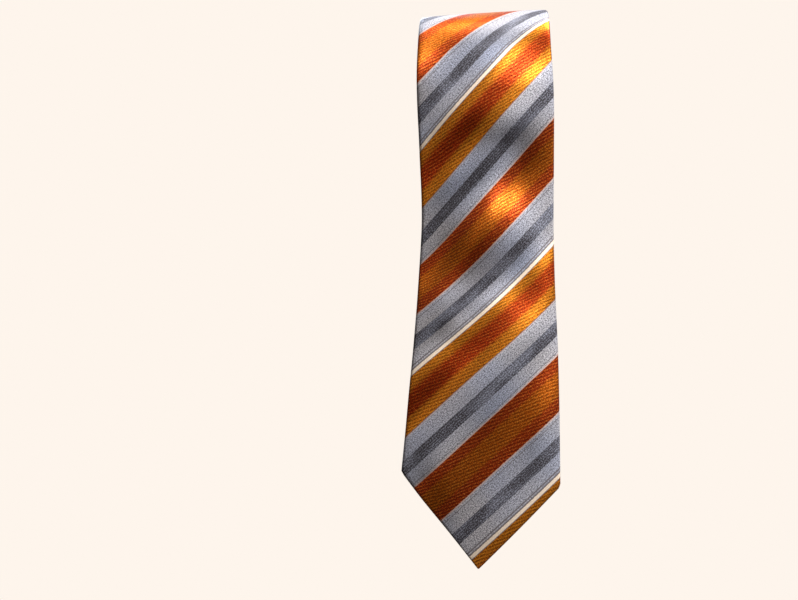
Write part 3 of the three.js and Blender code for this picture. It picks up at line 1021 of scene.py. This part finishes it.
# interlining and tipping; a layer's depth is a share of the blade's thickness
feltLayer = {"depth": 0.24, "thickness": 1.2 * mm, "inset": 1.3 * mm}
tippingLayer = {"depth": 0.7, "thickness": 0.2 * mm, "inset": 1.2 * mm}
feltEnds = {"wideTip": 14 * mm, "narrowTip": 12 * mm, "gap": 0.3 * mm}
tippingEnds = {"fromPoint": 3 * mm, "pastSlit": 12 * mm}
gap = feltEnds["gap"]
felts = [
    ("wide_felt_front", feltEnds["wideTip"], wideJoin - gap, wideFront, "front"),
    ("wide_felt_back", wideJoin + gap, backEnd, wideBack, "back"),
    ("neck_felt", backEnd + 2 * gap, foldEnd, neckCloth, "neck"),
    ("narrow_felt_back", foldEnd + 2 * gap, narrowJoin - gap, narrowBack, "back"),
    ("narrow_felt_front", narrowJoin + gap, tailEnd - feltEnds["narrowTip"], narrowFront, "front"),
]
feltNodes = {
    "wide_felt_front": ["wide_interlining_front", "wide_interlining_over_rail"],
    "wide_felt_back": ["wide_interlining_back"],
    "neck_felt": ["neck_interlining"],
    "narrow_felt_back": ["narrow_interlining_back"],
    "narrow_felt_front": ["narrow_interlining_front", "narrow_interlining_over_rail"],
}
feltPieces = {}
for name, start, end, cloth, length in felts:
    feltPieces[name] = layStrip(name, start, end, felt, feltLayer)
    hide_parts(*feltNodes[name])
    turnWith(feltPieces[name], length)


def tipLining(name, node, start, end):
    piece = layStrip(name, start, end, lining, tippingLayer)
    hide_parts(node)
    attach(piece, "front_leg")


fromPoint, pastSlit = tippingEnds["fromPoint"], tippingEnds["pastSlit"]
tipLining("wide_tipping_lining", "wide_tipping", fromPoint, wideMeets + pastSlit)
tipLining("narrow_tipping_lining", "narrow_tipping", tailMeets - pastSlit, tailEnd - fromPoint)
print("interlining and tipping laid")


# thread; the stitches slant by their reach and rise, each way from the middle
stitch = {"radius": 0.2 * mm, "pitch": 6 * mm, "reach": 1.3 * mm, "rise": 1.1 * mm, "proud": 0.06 * mm}


def addStitch(bm, a, b, radius):
    # one short thread, thicker in its middle, from a to b
    reach = b - a
    turn = reach.to_track_quat("Z", "Y").to_matrix().to_4x4()
    size = Matrix.Diagonal((radius, radius, reach.length / 2, 1))
    spot = Matrix.Translation((a + b) / 2) @ turn @ size
    bmesh.ops.create_uvsphere(bm, u_segments=8, v_segments=6, radius=1, matrix=spot)


def sewSlit(name, start, end, nodes):
    # slanting slip stitches that cross the slit between the two back flaps
    bm = bmesh.new()
    count = max(1, round((end - start) / stitch["pitch"]))
    for i in range(count):
        s = mix(start, end, (i + 0.5) / count)
        middle = sum(edges(s)) / 2
        depth = thickness(s) + stitch["proud"]
        a = place(middle - stitch["reach"], s - stitch["rise"], depth)
        b = place(middle + stitch["reach"], s + stitch["rise"], depth)
        addStitch(bm, a, b, stitch["radius"])
    piece = newPiece(name, bm, goldThread)
    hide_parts(*nodes)
    return piece


wideNodes = ["wide_slip_stitch_front", "wide_slip_stitch_over_rail"]
narrowNodes = ["narrow_slip_stitch_front", "narrow_slip_stitch_over_rail"]
slits = [
    ("wide_front", wideMeets, wideJoin, "front", wideNodes),
    ("wide_back", wideJoin, wideSeam, "back", ["wide_slip_stitch_back"]),
    ("neck", wideSeam, narrowSeam, "neck", ["neck_slip_stitch"]),
    ("narrow_back", narrowSeam, narrowJoin, "back", ["narrow_slip_stitch_back"]),
    ("narrow_front", narrowJoin, tailMeets, "front", narrowNodes),
]
for part, start, end, length, nodes in slits:
    turnWith(sewSlit("slip_stitch_" + part, start, end, nodes), length)

tack = {
    "threads": 15,
    "uprightThreads": 18,
    "radius": 0.24 * mm,
    "coreRadius": 0.22 * mm,
    "stagger": 0.15 * mm,
}


def sewTack(name, node, upright):
    # a bar tack: a padded row of satin stitches as large as its box
    low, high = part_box(node)
    middle = (low + high) / 2
    bm = bmesh.new()
    long, short = (2, 0) if upright else (0, 2)
    threads = tack["uprightThreads"] if upright else tack["threads"]
    for i in range(threads):
        a, b = middle.copy(), middle.copy()
        a[long] = b[long] = mix(low[long], high[long], (i + 0.5) / threads)
        a[short], b[short] = low[short], high[short]
        a[long] -= tack["stagger"] * (1 if i % 2 else -1)
        addStitch(bm, settle(a), settle(b), tack["radius"])
    core = [middle.copy(), middle.copy()]
    core[0][long], core[1][long] = low[long], high[long]
    addStitch(bm, settle(core[0]), settle(core[1]), tack["coreRadius"])
    piece = newPiece(name, bm, goldThread)
    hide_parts(node)
    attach(piece, "front_leg")


sewTack("bar_tack_wide", "wide_bar_tack", False)
sewTack("bar_tack_narrow", "narrow_bar_tack", False)
sewTack("keeper_stitch_left", "keeper_tack_left", True)
sewTack("keeper_stitch_right", "keeper_tack_right", True)

spareLoop = {"sides": 8, "steps": 40, "droop": 0.35}


def makeSpareLoop():
    # the spare end of the slip stitch: a ring of thread, drawn out long
    low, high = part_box("spare_thread_loop")
    middle, size = (low + high) / 2, high - low
    bm = bmesh.new()
    ringRadius = size.x / 2 - stitch["radius"]
    spot = Matrix.Translation((ringRadius, 0, 0)) @ Matrix.Rotation(math.pi / 2, 4, "X")
    sides, steps = spareLoop["sides"], spareLoop["steps"]
    made = bmesh.ops.create_circle(bm, segments=sides, radius=stitch["radius"], matrix=spot)
    around = {"cent": (0, 0, 0), "axis": (0, 0, 1), "angle": 2 * math.pi, "steps": steps}
    bmesh.ops.spin(bm, geom=made["verts"] + bm.edges[:], use_duplicate=False, use_merge=True, **around)
    bmesh.ops.rotate(bm, cent=(0, 0, 0), matrix=Matrix.Rotation(math.pi / 2, 3, "X"), verts=bm.verts)
    bmesh.ops.scale(bm, vec=(1, 1, (size.z / 2) / (size.x / 2)), verts=bm.verts)
    for vert in bm.verts:
        # wider below than above
        vert.co.x *= 1 - spareLoop["droop"] * vert.co.z / size.z
        vert.co = settle(vert.co + middle)
    bmesh.ops.remove_doubles(bm, verts=bm.verts, dist=0.01 * mm)
    bmesh.ops.recalc_face_normals(bm, faces=bm.faces)
    piece = newPiece("spare_thread", bm, goldThread)
    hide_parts("spare_thread_loop")
    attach(piece, "front_leg")


makeSpareLoop()
print("threads sewn")


# keeper and labels, all sewn to the back of the wide blade
keeper = {
    "thickness": 0.7 * mm,
    "foot": 8 * mm,  # sewn down at each end
    "ramp": 3 * mm,  # from there up to the bridge
    "belly": 0.3 * mm,
    "edgeRoll": 0.1 * mm,
    "patternAlong": 62 * mm,  # where it was cut in the stripe
    "columns": 72,
    "rows": 10,
}


def makeKeeper():
    low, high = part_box("keeper_loop")
    middle, reach = (low.x + high.x) / 2, (high.x - low.x) / 2
    footY, bridgeY = low.y, high.y - keeper["thickness"]
    rampStart = reach - keeper["foot"]
    columns, rows = keeper["columns"], keeper["rows"]

    def spotAt(column, row):
        share = mix(-1, 1, column / columns)
        x = share * reach
        lift = ease((rampStart - abs(x)) / keeper["ramp"])
        belly = keeper["belly"] * (1 - share * share)
        z = mix(low.z, high.z, row / rows)
        edge = abs(2 * row / rows - 1) ** 6
        y = mix(footY, bridgeY, lift) + belly * lift - keeper["edgeRoll"] * edge + keeper["thickness"]
        alongStrap = x + math.copysign((1 - lift) * 0.5 * keeper["ramp"], x)
        return settle(Vector((middle + x, y, z))), (z - low.z, keeper["patternAlong"] + alongStrap)

    bm = layGrid(columns, rows, spotAt)
    bmesh.ops.reverse_faces(bm, faces=bm.faces)
    area = layerArea(bm)
    piece = newPiece("keeper_strap", bm, stripedCloth, keeper["thickness"])
    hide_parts("keeper_loop")
    area / (high.z - low.z)
    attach(piece, "front_leg")


tapeShape = {
    "columns": 24,
    "rows": 20,
    "wave": (4 * mm, 0.08 * mm),  # how long and how high
    "makerCurl": 0.1 * mm,
    "careCurl": 0.5 * mm,
}


def makeTape(name, node, material, body, size, curl):
    # a woven tape that curls a little way off the cloth at its lower end
    low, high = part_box(node)
    middle = (low + high) / 2
    columns, rows = tapeShape["columns"], tapeShape["rows"]
    waveLength, waveHeight = tapeShape["wave"]

    def spotAt(column, row):
        x = mix(-0.5, 0.5, column / columns) * size[0]
        z = mix(-0.5, 0.5, row / rows) * size[1]
        away = curl * (0.5 - z / size[1]) ** 2 + waveHeight * math.sin(x / waveLength)
        spot = Vector((middle.x + x, high.y + away, middle.z + z))
        return settle(spot), (x, z)

    bm = layGrid(columns, rows, spotAt)
    bmesh.ops.reverse_faces(bm, faces=bm.faces)
    piece = newPiece(name, bm, material, high.y - low.y)
    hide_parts(node)
    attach(piece, body)


makeKeeper()
makerSize, makerCurl = labels["maker"]["size"], tapeShape["makerCurl"]
makeTape("maker_tape", "maker_label", labelSatin, "front_leg", makerSize, makerCurl)
careSize, careCurl = labels["care"]["size"], tapeShape["careCurl"]
makeTape("care_tag", "care_label", careTape, "care_label_flap", careSize, careCurl)
print("keeper and labels sewn on")


# floor, light and camera, in metres
studio = {
    "background": colour(254, 245, 236),
    "ambient": 0.05,
    "floorDrop": 0.42,  # below the point of the tie
    "floorRadius": 0.7,
    "floorDark": colour(208, 201, 193),
    "floorLight": colour(215, 208, 200),
}
lamps = {  # place, what it is aimed at, size, power and tint
    "key": ((1.05, -0.72, 1.85), (0, 0, -0.14), 0.42, 158, (0.95, 0.98, 1)),
    "fill": ((-0.9, -1.2, 0.1), (0, 0, -0.16), 0.9, 1.5, (1, 0.9, 0.82)),
    "rear": ((-0.6, 1.2, 0.9), (0, 0, -0.16), 0.8, 26, (0.72, 0.84, 1)),
}
view = {
    "lens": 80,
    "sensor": 36,
    "widthAtTie": 505.5 * mm,  # what the view takes in at the tie's face
    "centreZ": -163.2 * mm,
    "shift": -0.107,  # the tie hangs right of the middle
}


def aim(thing, at, target):
    thing.location = at
    thing.rotation_euler = (Vector(target) - Vector(at)).to_track_quat("-Z", "Y").to_euler()


def makeFloor():
    paint = Finish("pale_floor", {"Roughness": 0.9, "Specular IOR Level": 0.1})
    grain = paint.noise(paint.objectPlace(), 30 * mm, 3.0)
    shade = paint.mixColours(studio["floorDark"], studio["floorLight"], grain)
    bm = bmesh.new()
    height = -hang["bladeDrop"] - studio["floorDrop"]
    spot = Matrix.Translation((0, 0, height))
    bmesh.ops.create_circle(bm, cap_ends=True, segments=96, radius=studio["floorRadius"], matrix=spot)
    floor = newPiece("floor", bm, paint.finish({"Base Color": shade}, grain, 0.05))
    floor.visible_diffuse = False  # it gives no light back to the tie
    floor.visible_glossy = False


def makeWorld():
    # a pale backdrop that gives the tie itself very little light
    world = bpy.data.worlds.new("studio")
    scene.world = world
    world.use_nodes = True
    tree = world.node_tree
    seen = tree.nodes.new("ShaderNodeLightPath")
    strength = tree.nodes.new("ShaderNodeMapRange")
    strength.inputs["To Min"].default_value = studio["ambient"]
    strength.inputs["To Max"].default_value = 1
    tree.links.new(seen.outputs["Is Camera Ray"], strength.inputs["Value"])
    tree.nodes["Background"].inputs["Color"].default_value = studio["background"]
    tree.links.new(strength.outputs["Result"], tree.nodes["Background"].inputs["Strength"])


def makeLamps():
    for name, (at, target, size, power, tint) in lamps.items():
        data = bpy.data.lights.new(name, "AREA")
        data.size, data.energy, data.color = size, power, tint
        light = bpy.data.objects.new(name, data)
        scene.collection.objects.link(light)
        aim(light, at, target)


def makeCamera():
    data = bpy.data.cameras.new("camera")
    data.lens, data.sensor_width = view["lens"], view["sensor"]
    data.shift_x = view["shift"]
    camera = bpy.data.objects.new("camera", data)
    scene.collection.objects.link(camera)
    away = view["widthAtTie"] * view["lens"] / view["sensor"] + hang["wideFace"]
    aim(camera, (0, -away, view["centreZ"]), (0, 0, view["centreZ"]))
    scene.camera = camera


makeFloor()
makeWorld()
makeLamps()
makeCamera()
scene.view_settings.view_transform = "Standard"
print("studio set up")
